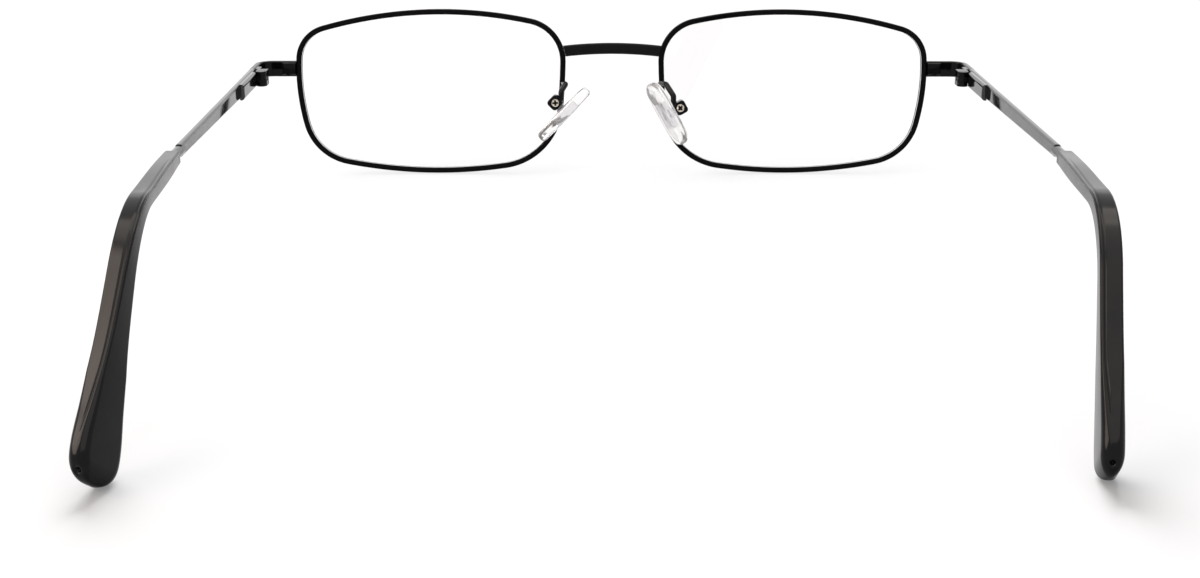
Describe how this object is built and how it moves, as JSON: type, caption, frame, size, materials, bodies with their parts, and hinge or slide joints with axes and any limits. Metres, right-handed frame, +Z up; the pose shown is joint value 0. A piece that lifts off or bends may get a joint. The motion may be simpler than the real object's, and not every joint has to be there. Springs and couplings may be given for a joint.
{
  "type": "eyeglasses",
  "caption": "Rectangular full-rim metal eyeglasses with spring-hinged temples, curved plastic temple tips and adjustable silicone nose pads.",
  "frame": {"origin": "middle of the whole object's box, on the plane it rests on", "axes": "+Z up, -Y the way the wearer looks, +Y from the front towards the temple tips, +X the wearer's left"},
  "size_m": [0.1388, 0.1424, 0.0317],
  "materials": {
    "black_lacquer": "glossy black lacquer over nickel alloy",
    "black_steel": "blackened steel screws",
    "bare_steel": "bare stainless steel",
    "screw_steel": "bright plated screw",
    "dark_plastic": "glossy very dark olive-grey plastic",
    "clear_lens": "clear plastic lens, polished",
    "clear_silicone": "soft clear silicone",
    "clear_plastic": "clear hard plastic insert"
  },
  "bodies": {
    "front": {"bridge": "black_lacquer", "left_rim": "black_lacquer", "left_lens": "clear_lens", "left_end_piece": "black_lacquer", "left_closing_block_upper": "black_lacquer", "left_closing_block_lower": "black_lacquer", "left_rim_lock_screw": "black_steel", "left_front_hinge": "black_lacquer", "left_pad_arm": "black_lacquer", "left_pad_box": "black_lacquer", "left_pad_screw": "screw_steel", "right_rim": "black_lacquer", "right_lens": "clear_lens", "right_end_piece": "black_lacquer", "right_closing_block_upper": "black_lacquer", "right_closing_block_lower": "black_lacquer", "right_rim_lock_screw": "black_steel", "right_front_hinge": "black_lacquer", "right_pad_arm": "black_lacquer", "right_pad_box": "black_lacquer", "right_pad_screw": "screw_steel"},
    "left_hinge_screw": {"left_hinge_screw": "black_steel"},
    "left_hinge_slider": {"left_hinge_slider": "bare_steel", "left_stem_nut": "bare_steel"},
    "left_temple": {"left_temple": "black_lacquer", "left_temple_tip": "dark_plastic", "left_spring_housing": "black_lacquer", "left_stop_ring": "bare_steel", "left_hinge_spring": "bare_steel"},
    "left_nose_pad": {"left_nose_pad": "clear_silicone", "left_pad_core": "clear_plastic"},
    "right_hinge_screw": {"right_hinge_screw": "black_steel"},
    "right_hinge_slider": {"right_hinge_slider": "bare_steel", "right_stem_nut": "bare_steel"},
    "right_temple": {"right_temple": "black_lacquer", "right_temple_tip": "dark_plastic", "right_spring_housing": "black_lacquer", "right_stop_ring": "bare_steel", "right_hinge_spring": "bare_steel"},
    "right_nose_pad": {"right_nose_pad": "clear_silicone", "right_pad_core": "clear_plastic"}
  },
  "joints": [
    {"name": "left_temple_spread", "type": "hinge", "parent": "front", "child": "left_hinge_screw", "pos_m": [0.0663, -0.05714, 0.0211], "axis": [0, -0.0523, 0.9986], "range_deg": [-10, 0], "stiffness_Nm_per_rad": 0.2},
    {"name": "left_temple_fold", "type": "hinge", "parent": "left_hinge_screw", "child": "left_hinge_slider", "pos_m": [0.0663, -0.05714, 0.0211], "axis": [0, -0.0523, 0.9986], "range_deg": [0, 88]},
    {"name": "left_spring_slide", "type": "slide", "parent": "left_hinge_slider", "child": "left_temple", "axis": [0, 0.9986, 0.0523], "range_m": [0, 0.0005], "deforming": ["left_hinge_spring"]},
    {"name": "left_pad_rocking", "type": "hinge", "parent": "front", "child": "left_nose_pad", "pos_m": [0.01095, -0.05983, 0.01572], "axis": [0, -0.9877, -0.1564], "range_deg": [-10, 10]},
    {"name": "right_temple_spread", "type": "hinge", "parent": "front", "child": "right_hinge_screw", "pos_m": [-0.0663, -0.05714, 0.0211], "axis": [0, 0.0523, -0.9986], "range_deg": [-10, 0], "stiffness_Nm_per_rad": 0.2},
    {"name": "right_temple_fold", "type": "hinge", "parent": "right_hinge_screw", "child": "right_hinge_slider", "pos_m": [-0.0663, -0.05714, 0.0211], "axis": [0, 0.0523, -0.9986], "range_deg": [0, 84]},
    {"name": "right_spring_slide", "type": "slide", "parent": "right_hinge_slider", "child": "right_temple", "axis": [0, 0.9986, 0.0523], "range_m": [0, 0.0005], "deforming": ["right_hinge_spring"]},
    {"name": "right_pad_rocking", "type": "hinge", "parent": "front", "child": "right_nose_pad", "pos_m": [-0.013, -0.05968, 0.01478], "axis": [0, -0.9877, -0.1564], "range_deg": [-10, 10]}
  ],
  "couplings": [
    {"joint": "left_spring_slide", "follows": "left_temple_spread", "m_per_rad": -0.00275},
    {"joint": "right_spring_slide", "follows": "right_temple_spread", "m_per_rad": -0.00275}
  ]
}
